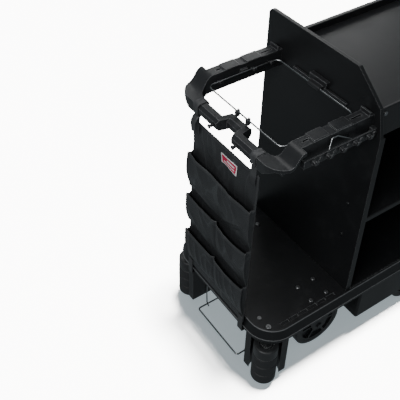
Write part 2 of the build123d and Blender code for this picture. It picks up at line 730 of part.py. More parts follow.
def make_utility_rails():
    """A strip of hooks between each elbow's wing and the cabinet's corner post."""
    rail_y = front + wing_inset + 4
    start = left + wing_length
    length = bay_length - wing_length
    with BuildPart() as rail:
        with Locations((start, rail_y, rail_height)):
            Box(length, rail_thick, rail_depth, align=(Align.MIN, Align.MIN, Align.CENTER))
        with Locations((left + bay_length, rail_y, rail_height)):
            Box(14, 16, rail_depth, align=(Align.MAX, Align.MIN, Align.CENTER))
        with Locations((start, rail_y, rail_height)):
            Box(3, 16, rail_depth, align=(Align.MIN, Align.MIN, Align.CENTER))
        for index in range(hook_count):
            hook_x = left + first_hook + index * hook_pitch
            with BuildSketch(Plane.YZ.offset(hook_x - 5)):
                with BuildLine():
                    Polyline((rail_y, rail_height + 6), (rail_y, rail_height - 8), (rail_y - 15, rail_height - 2),
                             (rail_y - 19, rail_height + 13), (rail_y - 15, rail_height + 13),
                             (rail_y - 11, rail_height + 3), (rail_y, rail_height + 6))
                make_face()
            extrude(amount=10)
            with Locations((hook_x + hook_pitch / 2, rail_y, rail_height)):
                Cylinder(6, 2.5, rotation=(90, 0, 0), align=(Align.CENTER, Align.CENTER, Align.MIN))
    save_all_corners(rail.part, "utility_rails")


def make_rail_wires():
    """A bent wire that braces each hook rail from the middle of the arm."""
    arm_face = front + arm_inset - wire_radius - seat
    rail_face = front + wing_inset + 4 + rail_thick + wire_radius + seat
    low = rail_height + rail_depth / 2 - 4
    top = arm_top - 12
    with BuildPart() as wire:
        with BuildLine():
            path = FilletPolyline((left + 190, rail_face, low - 14), (left + 190, rail_face, low),
                                  (left + 205, arm_face, top), (left + 225, arm_face, top),
                                  (left + 276, rail_face, low), (left + 276, rail_face, low - 14), radius=5)
        with BuildSketch(Plane(path @ 0, z_dir=path % 0)):
            Circle(wire_radius)
        sweep()
    save_all_corners(wire.part, "rail_wires")


def make_vacuum_rack():
    """A bent wire tray that folds out on two pins under the left end, and its brackets and rests."""
    pivot_x = left + rack_hinge_x
    reach_x = pivot_x - rack_reach
    half = rack_half_width
    pin_y = half + 20
    with BuildPart() as rack:
        with BuildLine():
            path = FilletPolyline((pivot_x, -pin_y, rack_pivot), (pivot_x, -half, rack_pivot),
                                  (pivot_x, -half, rack_height), (reach_x, -half, rack_height),
                                  (reach_x, half, rack_height), (pivot_x, half, rack_height),
                                  (pivot_x, half, rack_pivot), (pivot_x, pin_y, rack_pivot), radius=9)
        with BuildSketch(Plane(path @ 0, z_dir=path % 0)):
            Circle(rack_wire)
        sweep()
    save(rack.part, "vacuum_rack")

    with BuildPart() as bracket:
        with Locations((pivot_x, -pin_y + 1, deck_bottom)):
            Box(26, 9, 2 * rack_hinge_drop - 4, align=(Align.CENTER, Align.MIN, Align.MAX))
        fillet(bracket.edges().filter_by(Axis.Y).group_by(Axis.Z)[0], radius=10)
        with Locations((pivot_x, -pin_y, rack_pivot)):
            Cylinder(rack_wire + running, 40, rotation=(90, 0, 0), mode=Mode.SUBTRACT)
    leg_face = front + leg_far
    rest_z = rack_height - rack_wire - wire_radius - seat
    rest_x = pivot_x - rack_reach + 42
    wire_y = leg_face + wire_radius + seat
    with BuildPart() as rest:
        with BuildLine():
            path = FilletPolyline((rest_x + 22, wire_y, leg_bottom + 60), (rest_x + 22, wire_y, leg_bottom - 4),
                                  (rest_x + 6, -half - 12, rest_z), (rest_x, -half + 8, rest_z), radius=5)
        with BuildSketch(Plane(path @ 0, z_dir=path % 0)):
            Circle(wire_radius)
        sweep()
    fittings = [to_corner(piece.part, -1, side) for piece in (bracket, rest) for side in (-1, 1)]
    save(Compound(children=fittings), "rack_brackets")


def make_organizer():
    """A hanging sheet with three rows of pockets, two straps round the bar and two tabs at the deck."""
    half = sheet_width / 2
    low_x = sheet_low_x
    top_x = left + sheet_top_x
    bend_z = sheet_bend
    slope = sheet_slope
    with BuildPart() as sheet:
        with BuildSketch(Plane.XZ.offset(-half)):
            with BuildLine():
                Polyline((low_x, sheet_bottom), (low_x, bend_z), (top_x, sheet_top),
                         (top_x + sheet_thick, sheet_top), (low_x + sheet_thick, bend_z),
                         (low_x + sheet_thick, sheet_bottom), (low_x, sheet_bottom))
            make_face()
        extrude(amount=2 * half)
    save(sheet.part, "organizer_sheet")

    with BuildPart() as pockets:
        for lip, floor in zip(pocket_lips, pocket_floors):
            lip_x = low_x + (lip - bend_z) * slope - seat
            floor_x = low_x + max(floor - bend_z, 0) * slope - seat
            with BuildSketch(Plane.XZ.offset(-half)):
                with BuildLine():
                    Polyline((lip_x, lip), (floor_x, floor), (floor_x - pocket_reach / 2, floor),
                             (lip_x - pocket_reach, lip - 40), (lip_x - pocket_reach, lip), (lip_x, lip))
                make_face()
            extrude(amount=2 * half)
            for side in (-1, 1):
                with BuildSketch(Plane.XZ.offset(-side * half / 2 - half / 2 + pocket_wall)):
                    with BuildLine():
                        Polyline((lip_x - pocket_wall, lip + 1), (floor_x - pocket_wall, floor + pocket_wall),
                                 (floor_x - pocket_reach / 2 + pocket_wall, floor + pocket_wall),
                                 (lip_x - pocket_reach + pocket_wall, lip - 40),
                                 (lip_x - pocket_reach + pocket_wall, lip + 1), (lip_x - pocket_wall, lip + 1))
                    make_face()
                extrude(amount=half - 2 * pocket_wall, mode=Mode.SUBTRACT)
    save(pockets.part, "organizer_pockets")

    loop_gap = 2 * seat
    strap_low = bar_low - loop_gap - strap_thick
    tail_x = top_x - strap_thick - 2 * seat
    strap_y = -front - elbow_end - strap_width - 1
    tail_low = 40 * slope
    with BuildPart() as strap:
        with BuildSketch(Plane.XZ.offset(strap_y)) as outer:
            with Locations((bar_x, bar_height)):
                Rectangle(bar_size, bar_size)
            chamfer(outer.vertices(), length=bar_chamfer)
            offset(amount=loop_gap + strap_thick, kind=Kind.INTERSECTION)
        extrude(amount=strap_width)
        with BuildSketch(Plane.XZ.offset(strap_y)) as inner:
            with Locations((bar_x, bar_height)):
                Rectangle(bar_size, bar_size)
            chamfer(inner.vertices(), length=bar_chamfer)
            offset(amount=loop_gap, kind=Kind.INTERSECTION)
        extrude(amount=strap_width, mode=Mode.SUBTRACT)
        with BuildSketch(Plane.XZ.offset(strap_y)):
            with BuildLine():
                Polyline((tail_x - tail_low, sheet_top - 40), (tail_x - tail_low + strap_thick, sheet_top - 40),
                         (tail_x + strap_thick, sheet_top + 5), (bar_x, strap_low + strap_thick),
                         (bar_x - 5, strap_low + strap_thick), (tail_x, sheet_top + 8),
                         (tail_x - tail_low, sheet_top - 40))
            make_face()
        extrude(amount=strap_width)
    tab_x = low_x - seat - strap_thick
    with BuildPart() as tab:
        with BuildSketch(Plane.XZ.offset(half - strap_width)):
            with BuildLine():
                Polyline((tab_x, sheet_bottom + 22), (tab_x, deck_bottom - seat - strap_thick),
                         (left + 14, deck_bottom - seat - strap_thick), (left + 14, deck_bottom - seat),
                         (tab_x + strap_thick, deck_bottom - seat), (tab_x + strap_thick, sheet_bottom + 22),
                         (tab_x, sheet_bottom + 22))
            make_face()
        extrude(amount=strap_width)
    straps = [to_corner(piece.part, -1, side) for piece in (strap, tab) for side in (-1, 1)]
    save(Compound(children=straps), "organizer_straps")


make_deck()
make_deck_screws()
make_caster_bolts()
make_corner_legs()
make_rollers()
make_casters()
make_centre_wheels()
make_end_panels()
make_cabinet()
make_panel_screws()
save_each_corner(make_arm(), "bag_arm")
for end, word in ((-1, "left"), (1, "right")):
    save(to_corner(make_handle_bar(), end, -1), f"handle_bar_{word}")
    save(to_corner(make_bag_frame(), end, -1), f"bag_frame_{word}")
make_hinge_blocks()
make_frame_clips()
make_utility_rails()
make_rail_wires()
make_vacuum_rack()
make_organizer()
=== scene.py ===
# Housekeeping cart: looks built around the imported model, in metres.
import math

import bpy
import numpy as np
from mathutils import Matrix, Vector


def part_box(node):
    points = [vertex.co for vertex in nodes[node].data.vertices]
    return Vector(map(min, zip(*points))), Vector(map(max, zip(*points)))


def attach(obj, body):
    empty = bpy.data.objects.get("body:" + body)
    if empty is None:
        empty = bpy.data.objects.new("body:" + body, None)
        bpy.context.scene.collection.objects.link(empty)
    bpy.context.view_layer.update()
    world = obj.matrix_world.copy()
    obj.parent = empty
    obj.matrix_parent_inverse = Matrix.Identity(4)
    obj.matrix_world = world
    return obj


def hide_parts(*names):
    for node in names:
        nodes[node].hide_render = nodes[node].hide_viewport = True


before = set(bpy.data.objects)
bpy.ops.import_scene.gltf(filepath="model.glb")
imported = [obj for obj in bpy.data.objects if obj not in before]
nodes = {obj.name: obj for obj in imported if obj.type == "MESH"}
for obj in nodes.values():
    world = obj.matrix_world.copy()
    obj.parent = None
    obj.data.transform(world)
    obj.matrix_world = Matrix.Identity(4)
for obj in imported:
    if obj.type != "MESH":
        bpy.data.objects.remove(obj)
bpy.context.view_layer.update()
collection = bpy.context.scene.collection
print("frame loaded:", len(nodes), "parts")


class Wire:
    # one shader socket that takes part in plain arithmetic
    def __init__(self, finish, socket):
        self.finish = finish
        self.socket = socket

    def calc(self, operation, first, second=0.0):
        return self.finish.add("Math", {"operation": operation}, {0: first, 1: second})

    def __add__(self, other):
        return self.calc("ADD", self, other)

    def __radd__(self, other):
        return self.calc("ADD", other, self)

    def __sub__(self, other):
        return self.calc("SUBTRACT", self, other)

    def __rsub__(self, other):
        return self.calc("SUBTRACT", other, self)

    def __mul__(self, other):
        return self.calc("MULTIPLY", self, other)

    def __rmul__(self, other):
        return self.calc("MULTIPLY", other, self)

    def sine(self):
        return self.calc("SINE", self)

    def size(self):
        return self.calc("ABSOLUTE", self)


class Finish:
    # one material and the nodes in it
    def __init__(self, name):
        self.material = bpy.data.materials.new(name)
        self.material.use_nodes = True
        self.tree = self.material.node_tree
        self.tree.nodes.clear()
        self.place = self.add("TexCoord", out="Object")

    def add(self, kind, settings=None, inputs=None, out=0):
        node = self.tree.nodes.new("ShaderNode" + kind)
        for key, value in (settings or {}).items():
            setattr(node, key, value)
        for key, value in (inputs or {}).items():
            if isinstance(value, Wire):
                self.tree.links.new(value.socket, node.inputs[key])
            else:
                node.inputs[key].default_value = value
        return Wire(self, node.outputs[out] if node.outputs else None)

    def noise(self, scale, detail=3.0, rough=0.55, vector=None):
        values = {"Vector": vector or self.place, "Scale": scale, "Detail": detail, "Roughness": rough}
        return self.add("TexNoise", None, values, "Fac")

    def stretch(self, scale, turn=(0.0, 0.0, 0.0)):
        return self.add("Mapping", None, {"Vector": self.place, "Scale": scale, "Rotation": turn})

    def ramp(self, value, low, high):
        values = {0: value, 1: low, 2: high, 3: 0.0, 4: 1.0}
        return self.add("MapRange", {"interpolation_type": "SMOOTHSTEP"}, values)

    def mixColour(self, mask, first, second):
        return self.add("Mix", {"data_type": "RGBA"}, {0: mask, 6: first, 7: second}, 2)

    def edges(self, radius):
        # how far the rounded normal turns from the true one: worn corners, which plastic and rubber also
        # paint with a pale edge highlight
        soft = self.add("Bevel", {"samples": 4}, {"Radius": radius})
        true = self.add("NewGeometry", out="Normal")
        likeness = self.add("VectorMath", {"operation": "DOT_PRODUCT"}, {0: soft, 1: true}, "Value")
        return soft, self.ramp(1 - likeness, *edgeTurn)

    def bump(self, height, distance, strength=1.0, normal=None):
        values = {"Height": height, "Distance": distance, "Strength": strength}
        if normal:
            values["Normal"] = normal
        return self.add("Bump", None, values)

    def close(self, values):
        shader = self.add("BsdfPrincipled", None, values)
        self.add("OutputMaterial", None, {"Surface": shader})
        return self.material


def colour(red, green, blue):
    return (red, green, blue, 1.0)


# corners past these turns are worn and, on plastic and rubber, carry a painted edge highlight
edgeTurn = (0.004, 0.10)  # how far a corner turns before it counts as worn, and as fully worn

plasticWearAndHighlight = {
    "highlightFrom": 0.0005, "dustFrom": (0.52, 0.78), "wearAndHighlightShare": 0.85,
    "scuffSize": (260.0, 36.0, 90.0), "scuffTurn": (0.3, 0.5, 0.9), "scuffFrom": (0.66, 0.80),
    "scuffDepth": 0.3, "smudgeRough": 0.22, "dustRough": 0.10, "scuffRough": 0.07, "wornRough": 0.05,
    "bump": 0.6, "ior": 1.47}


def mouldedPlastic(name, look):
    f, recipe = Finish(name), plasticWearAndHighlight
    soft, wearAndHighlight = f.edges(look["edgeRadius"])
    if "highlightHeights" in look:  # painted highlight lines along level edges of the deck's rim
        height = f.add("SeparateXYZ", None, {0: f.place}, "Z")
        for level in look["highlightHeights"]:
            wearAndHighlight = wearAndHighlight + (1 - f.ramp((height - level).size(), recipe["highlightFrom"], look["highlightWidth"]))
        wearAndHighlight = wearAndHighlight.calc("MINIMUM", wearAndHighlight, 1.0)
    smudge = f.noise(look["smudgeScale"], 4.0, 0.62)
    dust = f.ramp(f.noise(look["dustScale"], 6.0, 0.7), *recipe["dustFrom"])
    scratches = f.noise(1.0, 2.0, 0.5, f.stretch(recipe["scuffSize"], recipe["scuffTurn"]))
    scuffs = f.ramp(scratches, *recipe["scuffFrom"])
    pebble = f.noise(look["grainScale"], 2.0, 0.5)
    base = f.mixColour(smudge, look["dark"], look["light"])
    # the pale colour on corners is wear and a painted edge highlight; dust adds it at random
    base = f.mixColour(wearAndHighlight * recipe["wearAndHighlightShare"] + dust * look["dust"], base, look["wearAndHighlight"])
    rough = look["rough"] + (smudge - 0.5) * recipe["smudgeRough"] + dust * recipe["dustRough"]
    rough = rough - scuffs * recipe["scuffRough"] + wearAndHighlight * recipe["wornRough"]
    normal = f.bump(pebble + scuffs * recipe["scuffDepth"], look["grainDepth"], recipe["bump"], soft)
    return f.close({"Base Color": base, "Roughness": rough, "Normal": normal, "IOR": recipe["ior"],
                    "Specular IOR Level": look["shine"]})


rubberWearAndHighlight = {
    "edgeRadius": 0.0014, "blotchScale": 16.0, "gritScale": 700.0, "scrubScale": 60.0,
    "scrubFrom": (0.5, 0.8), "scrubShare": 0.35, "wearAndHighlightShare": 0.3, "blotchRough": 0.12, "wornRough": 0.08,
    "scrubDepth": 0.4, "depth": 0.00025, "bump": 0.7}


def rubberFinish(name, look):
    f, recipe = Finish(name), rubberWearAndHighlight
    soft, wearAndHighlight = f.edges(recipe["edgeRadius"])
    blotch = f.noise(recipe["blotchScale"], 5.0, 0.65)
    grit = f.noise(recipe["gritScale"], 3.0, 0.6)
    scrub = f.ramp(f.noise(recipe["scrubScale"], 5.0, 0.7), *recipe["scrubFrom"])
    base = f.mixColour(blotch, look["dark"], look["light"])
    # scrubs turn the pale colour as wear; corners as wear and a faint painted edge highlight
    base = f.mixColour(scrub * recipe["scrubShare"] + wearAndHighlight * recipe["wearAndHighlightShare"], base, look["wearAndHighlight"])
    rough = look["rough"] + blotch * recipe["blotchRough"] - wearAndHighlight * recipe["wornRough"]
    normal = f.bump(grit + scrub * recipe["scrubDepth"], recipe["depth"], recipe["bump"], soft)
    return f.close({"Base Color": base, "Roughness": rough, "Normal": normal})


metalWear = {
    "edgeRadius": 0.0007, "cloudScale": 34.0, "spotScale": 240.0, "spotFrom": (0.60, 0.74),
    "cloudRough": 0.16, "spotRough": 0.18, "wornRough": 0.04, "depth": 0.00008}


def platedMetal(name, look):
    f, recipe = Finish(name), metalWear
    soft, wearAndHighlight = f.edges(recipe["edgeRadius"])
    cloud = f.noise(recipe["cloudScale"], 5.0, 0.6)
    brushed = f.noise(1.0, 3.0, 0.6, f.stretch(look["brush"]))
    spots = f.ramp(f.noise(recipe["spotScale"], 4.0, 0.7), *recipe["spotFrom"])
    base = f.mixColour(cloud, look["dark"], look["light"])
    base = f.mixColour(spots * look["spots"], base, look["tarnish"])
    rough = look["rough"] + (cloud - 0.5) * recipe["cloudRough"]
    rough = rough + spots * recipe["spotRough"] + wearAndHighlight * recipe["wornRough"]
    normal = f.bump(brushed, recipe["depth"], look["brushDepth"], soft)
    return f.close({"Base Color": base, "Roughness": rough, "Normal": normal, "Metallic": 1.0})


nylonWearAndHighlight = {
    "slubSize": (1500.0, 1500.0, 300.0), "creaseSize": (16.0, 18.0, 8.0), "creaseTurn": (0.7, 0.0, 0.0),
    "creaseWidth": 0.05, "shadeScale": 7.0, "shadeShare": 0.7, "foldHighlightShare": 0.22, "slubShare": 0.08,
    "weaveRough": 0.10, "foldRough": 0.10, "shadeRough": 0.12, "threadDepth": 0.00018, "threadBump": 0.7,
    "foldDepth": 0.6, "foldBump": 0.55, "sheenRough": 0.4}


def wovenNylon(name, look):
    f, recipe = Finish(name), nylonWearAndHighlight
    parts = {axis: f.add("SeparateXYZ", None, {0: f.place}, axis) for axis in "XYZ"}
    turns = 2 * math.pi / look["thread"]
    across = ((parts["Y"] + parts["X"]) * turns).sine()
    along = (parts["Z"] * turns).sine()
    weave = (across * along) * 0.5 + 0.5
    slub = f.noise(1.0, 2.0, 0.5, f.stretch(recipe["slubSize"]))
    crease = f.noise(1.0, 1.0, 0.4, f.stretch(recipe["creaseSize"], recipe["creaseTurn"]))
    fold = 1 - f.ramp((crease - 0.5).size(), 0.0, recipe["creaseWidth"])
    shade = f.noise(recipe["shadeScale"], 2.0, 0.5)
    shadeShare = recipe["shadeShare"]
    base = f.mixColour(shade * shadeShare + weave * (1 - shadeShare), look["dark"], look["light"])
    # pale thin fold lines are a painted crease highlight, partly fold wear; slubs vary at random
    base = f.mixColour(fold * recipe["foldHighlightShare"] + slub * recipe["slubShare"], base, look["wearAndHighlight"])
    rough = look["rough"] + weave * recipe["weaveRough"] - fold * recipe["foldRough"]
    rough = rough + (shade - 0.5) * recipe["shadeRough"]
    fine = f.bump(weave * 0.7 + slub * 0.3, recipe["threadDepth"], recipe["threadBump"])
    normal = f.bump(fold * recipe["foldDepth"] + crease, look["creaseDepth"], recipe["foldBump"], fine)
    return f.close({"Base Color": base, "Roughness": rough, "Normal": normal, "Sheen Weight": look["sheen"],
                    "Sheen Roughness": recipe["sheenRough"], "Sheen Tint": look["wearAndHighlight"]})


# each plastic's pale corner colour stands for wear and a painted edge highlight
plasticLooks = {
    "black_plastic": {
        "dark": colour(0.0075, 0.0078, 0.0085), "light": colour(0.0115, 0.0118, 0.0125),
        "wearAndHighlight": colour(0.130, 0.134, 0.138), "rough": 0.36, "dust": 0.06, "edgeRadius": 0.0014,
        "shine": 0.32, "smudgeScale": 6.0, "dustScale": 14.0, "grainScale": 1400.0, "grainDepth": 0.00014},
    "charcoal_plastic": {
        "dark": colour(0.013, 0.0135, 0.0145), "light": colour(0.020, 0.0205, 0.022),
        "wearAndHighlight": colour(0.120, 0.122, 0.126), "rough": 0.30, "dust": 0.08, "edgeRadius": 0.0012,
        "shine": 0.40, "smudgeScale": 9.0, "dustScale": 22.0, "grainScale": 1700.0, "grainDepth": 0.00010},
    "grey_plastic": {
        "dark": colour(0.016, 0.0165, 0.0175), "light": colour(0.026, 0.027, 0.028),
        "wearAndHighlight": colour(0.30, 0.305, 0.31), "rough": 0.38, "dust": 0.10, "edgeRadius": 0.0012, "shine": 0.40,
        "smudgeScale": 12.0, "dustScale": 30.0, "grainScale": 1500.0, "grainDepth": 0.00012},
}
# the deck's rim gets two painted highlight lines, at its top fillet and its bead
plasticLooks["deckPlastic"] = dict(plasticLooks["black_plastic"], highlightHeights=(0.3082, 0.2735),
                                   highlightWidth=0.0017)
# the arms, bars and clips get wider, paler corners: a stronger painted edge highlight as well as wear
plasticLooks["armPlastic"] = dict(plasticLooks["charcoal_plastic"], edgeRadius=0.0021,
                                  wearAndHighlight=colour(0.21, 0.214, 0.22))
rubberLooks = {
    "rubber": {"dark": colour(0.010, 0.0103, 0.011), "light": colour(0.018, 0.0185, 0.020),
               "wearAndHighlight": colour(0.050, 0.051, 0.053), "rough": 0.55},
    "grey_tyre": {"dark": colour(0.013, 0.0133, 0.014), "light": colour(0.021, 0.0215, 0.0225),
                  "wearAndHighlight": colour(0.065, 0.065, 0.066), "rough": 0.44},
}
metalLooks = {
    "zinc_steel": {"dark": colour(0.16, 0.165, 0.17), "light": colour(0.27, 0.275, 0.28),
                   "tarnish": colour(0.10, 0.095, 0.085), "rough": 0.34, "spots": 0.45,
                   "brush": (900.0, 900.0, 40.0), "brushDepth": 0.35},
    "plated_wire": {"dark": colour(0.26, 0.265, 0.27), "light": colour(0.36, 0.365, 0.37),
                    "tarnish": colour(0.16, 0.155, 0.15), "rough": 0.20, "spots": 0.25,
                    "brush": (600.0, 600.0, 600.0), "brushDepth": 0.15},
}
# the pale colour lightens the fold lines as a painted crease highlight, and tints the sheen
nylonLooks = {
    "nylon_fabric": {"dark": colour(0.012, 0.0125, 0.0135), "light": colour(0.020, 0.0205, 0.022),
                     "wearAndHighlight": colour(0.050, 0.053, 0.056), "rough": 0.37, "thread": 0.0009,
                     "creaseDepth": 0.0022, "sheen": 0.10},
    "nylonBinding": {"dark": colour(0.020, 0.0205, 0.022), "light": colour(0.032, 0.033, 0.035),
                     "wearAndHighlight": colour(0.080, 0.082, 0.086), "rough": 0.50, "thread": 0.0013,
                     "creaseDepth": 0.0004, "sheen": 0.15},
}

finishes = {}
for makeFinish, looks in ((mouldedPlastic, plasticLooks), (rubberFinish, rubberLooks),
                          (platedMetal, metalLooks), (wovenNylon, nylonLooks)):
    for finishName, look in looks.items():
        finishes[finishName] = makeFinish(finishName + "_look", look)

for part in nodes.values():
    for place in part.material_slots:
        place.material = finishes[place.material.name.split(".")[0]]
special = {"deck": "deckPlastic"}  # parts whose finish differs from the one their slot names
for partName in ("bag_arm_left_front", "bag_arm_left_back", "bag_arm_right_front", "bag_arm_right_back",
                 "handle_bar_left", "handle_bar_right", "hinge_blocks", "frame_clips", "utility_rails"):
    special[partName] = "armPlastic"
for partName, finishName in special.items():
    for place in nodes[partName].material_slots:
        place.material = finishes[finishName]
print("finishes:", len(finishes))


def gridFaces(rows, columns, closed=False):
    faces = []
    for i in range(rows - 1 + closed):
        for j in range(columns - 1):
            below = ((i + 1) % rows) * columns
            faces.append((i * columns + j, below + j, below + j + 1, i * columns + j + 1))
    return faces


view = {"place": (-1.6935, -1.2450, 2.2576), "turn": (48.834, 0.006, -33.482), "lens": 63.9,
        "sensor": 36.0, "shift": (0.0297, -0.1017)}
lens = bpy.data.cameras.new("viewCamera")
lens.lens = view["lens"]
lens.sensor_width = view["sensor"]
lens.shift_x, lens.shift_y = view["shift"]
camera = bpy.data.objects.new("viewCamera", lens)
camera.location = view["place"]
camera.rotation_euler = [math.radians(angle) for angle in view["turn"]]
collection.objects.link(camera)
bpy.context.scene.camera = camera

studio = {
    "keyLight": {"place": (-3.4, -1.2, 3.2), "aim": (-0.6, 0.0, 0.7), "width": 2.0, "power": 96.0},
    "overheadLight": {"place": (-0.4, 0.6, 4.2), "aim": (-0.3, 0.0, 0.5), "width": 2.6, "power": 58.0},
    "backLight": {"place": (2.4, 3.6, 2.2), "aim": (0.2, 0.0, 0.5), "width": 2.4, "power": 60.0},
    "frontLight": {"place": (0.6, -4.0, 2.2), "aim": (0.0, 0.0, 0.6), "width": 2.0, "power": 5.0},
}
for lightName, spot in studio.items():
    lamp = bpy.data.lights.new(lightName, "AREA")
    lamp.size = spot["width"]
    lamp.energy = spot["power"]
    light = bpy.data.objects.new(lightName, lamp)
    light.location = spot["place"]
    toward = Vector(spot["aim"]) - Vector(spot["place"])
    light.rotation_euler = toward.to_track_quat("-Z", "Y").to_euler()
    collection.objects.link(light)

airLook = {"shade": colour(0.84, 0.95, 1.0), "strength": 0.22}
world = bpy.data.worlds.new("studioAir")
bpy.context.scene.world = world
world.use_nodes = True
air = next(n for n in world.node_tree.nodes if n.type == "BACKGROUND")
air.inputs["Color"].default_value = airLook["shade"]
air.inputs["Strength"].default_value = airLook["strength"]

floorLook = {"half": 14.0, "shade": colour(0.88, 0.88, 0.88), "rough": 0.8, "glow": 0.36,
             "glowShade": colour(0.80, 0.94, 1.0)}
floorMesh = bpy.data.meshes.new("studioFloor")
reach = floorLook["half"]
floorMesh.from_pydata([(-reach, -reach, 0), (reach, -reach, 0), (reach, reach, 0), (-reach, reach, 0)],
                      [], [(0, 1, 2, 3)])
floor = bpy.data.objects.new("studioFloor", floorMesh)
collection.objects.link(floor)
floorPaint = Finish("studioFloorPaint")
floorMesh.materials.append(floorPaint.close({
    "Base Color": floorLook["shade"], "Roughness": floorLook["rough"],
    "Emission Color": floorLook["glowShade"], "Emission Strength": floorLook["glow"]}))
floor.visible_diffuse = floor.visible_glossy = False  # the floor stays pale and the cart stays black


def linkLight(light, name, state):
    # the cart's lamps leave the floor alone, and the floor has a sun of its own
    receivers = bpy.data.collections.new(name)
    receivers.objects.link(floor)
    receivers.collection_objects[0].light_linking.link_state = state
    light.light_linking.receiver_collection = receivers


sweep = {"radius": 13.0, "rings": 16, "sides": 48, "glow": 12.5, "sink": 0.02, "top": 0.999}
sweepPoints = [(sweep["radius"] * math.cos(a) * math.cos(b), sweep["radius"] * math.sin(a) * math.cos(b),
                sweep["radius"] * math.sin(b) - sweep["sink"])
               for b in np.linspace(0, math.pi / 2 * sweep["top"], sweep["rings"])
               for a in np.linspace(0, 2 * math.pi, sweep["sides"] + 1)]
sweepMesh = bpy.data.meshes.new("studioSweep")
sweepMesh.from_pydata(sweepPoints, [], gridFaces(sweep["rings"], sweep["sides"] + 1))
sweepPaint = Finish("studioSweepPaint")
sweepMesh.materials.append(sweepPaint.close({
    "Base Color": colour(0.0, 0.0, 0.0), "Roughness": 1.0, "Specular IOR Level": 0.0,
    "Emission Color": colour(1.0, 1.0, 1.0), "Emission Strength": sweep["glow"]}))
backdrop = bpy.data.objects.new("studioSweep", sweepMesh)
collection.objects.link(backdrop)
backdrop.visible_diffuse = backdrop.visible_glossy = backdrop.visible_shadow = False

for lightName in studio:
    linkLight(bpy.data.objects[lightName], lightName + "Receivers", "EXCLUDE")
sunLook = {"strength": 40.0, "spread": 0.20, "toward": (-0.12, 0.03, -1.0), "shade": (1.0, 0.985, 0.965)}
sunLamp = bpy.data.lights.new("floorSun", "SUN")
sunLamp.energy, sunLamp.angle, sunLamp.color = sunLook["strength"], sunLook["spread"], sunLook["shade"]
sun = bpy.data.objects.new("floorSun", sunLamp)
sun.rotation_euler = Vector(sunLook["toward"]).to_track_quat("-Z", "Y").to_euler()
collection.objects.link(sun)
linkLight(sun, "floorSunReceivers", "INCLUDE")
print("camera, lights and floor set")


def makePiece(name, points, faces, finishNames):
    # everything made here hangs on the cart's own body
    mesh = bpy.data.meshes.new(name)
    mesh.from_pydata([tuple(p) for p in points], [], faces)
    mesh.polygons.foreach_set("use_smooth", [True] * len(mesh.polygons))
    for finishName in finishNames:
        mesh.materials.append(finishes[finishName])
    piece = bpy.data.objects.new(name, mesh)
    collection.objects.link(piece)
    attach(piece, "cart")
    return piece


def applyModifiers(piece):
    graph = bpy.context.evaluated_depsgraph_get()
    solid = bpy.data.meshes.new_from_object(piece.evaluated_get(graph))
    piece.modifiers.clear()
    old = piece.data
    piece.data = solid
    bpy.data.meshes.remove(old)
    solid.polygons.foreach_set("use_smooth", [True] * len(solid.polygons))


def thicken(piece, thickness, levels=1):
    if levels:
        smooth = piece.modifiers.new("smooth", "SUBSURF")
        smooth.levels = smooth.render_levels = levels
    shell = piece.modifiers.new("shell", "SOLIDIFY")
    shell.thickness = thickness
    shell.offset = 0.0
    applyModifiers(piece)


def unit(vectors):
    return vectors / np.maximum(np.linalg.norm(vectors, axis=-1, keepdims=True), 1e-9)


stitchLook = {"pitch": 0.0042, "length": 0.0028, "radius": 0.00032, "sides": 5, "lifts": (-0.4, 0.9, -0.4)}


def stitchRow(points, normals):
    # short thread loops that lie on a seam line
    pitch, half, sides = stitchLook["pitch"], stitchLook["length"] / 2, stitchLook["sides"]
    spans = np.linalg.norm(np.diff(points, axis=0), axis=1)
    walk = np.concatenate([[0], np.cumsum(spans)])
    verts, faces = [], []
    for start in np.arange(pitch, walk[-1] - pitch, pitch):
        ends = [np.array([np.interp(start + s, walk, points[:, k]) for k in range(3)])
                for s in (-half, 0, half)]
        out = unit(np.array([np.interp(start, walk, normals[:, k]) for k in range(3)]))
        side = unit(np.cross(ends[2] - ends[0], out))
        base = len(verts)
        for end, lift in zip(ends, stitchLook["lifts"]):
            for turn in range(sides):
                angle = 2 * math.pi * turn / sides
                ring = math.cos(angle) * side + (math.sin(angle) + lift) * out
                verts.append(end + stitchLook["radius"] * ring)
        for i in range(2):
            for k in range(sides):
                a, b = base + sides * i + k, base + sides * i + (k + 1) % sides
                faces.append((a, b, b + sides, a + sides))
        faces.append(tuple(base + k for k in range(sides - 1, -1, -1)))
        faces.append(tuple(base + 2 * sides + k for k in range(sides)))
    return verts, faces


def joinParts(parts):
    verts, faces = [], []
    for some, joined in parts:
        base = len(verts)
        verts.extend(some)
        faces.extend(tuple(base + k for k in face) for face in joined)
    return verts, faces


# the backing sheet: a dimple is its depth, its place (across, up) and its size (across, up),
# and a ridge is its height, its turns across and up, and its start
sheetLook = {
    "thickness": 0.0020, "cell": 0.0055, "bendHeight": 0.330, "cadThickness": 0.003, "inside": 0.0012,
    "wavesFrom": 0.64, "wavesOver": 0.10, "topCalm": 0.05, "topSag": 0.0015, "edgeDip": 0.004,
    "dipUp": 6, "dipAcross": 4,
    "dimples": ((0.0055, (0.02, 0.850), (0.085, 0.050)), (-0.0035, (-0.135, 0.845), (0.035, 0.045))),
    "ridges": ((0.0016, 38, 24, 0.0), (0.0010, 71, -43, 1.1)),
}
sheetLow, sheetHigh = (np.array(corner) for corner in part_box("organizer_sheet"))
bend = sheetLook["bendHeight"]
lean = (sheetHigh[0] - sheetLook["cadThickness"] - sheetLow[0]) / (sheetHigh[2] - bend)
halfWidth = sheetHigh[1]


def clamp(value):
    return min(max(value, 0.0), 1.0)


def sheetFace(z):
    return sheetLow[0] + max(z - bend, 0.0) * lean


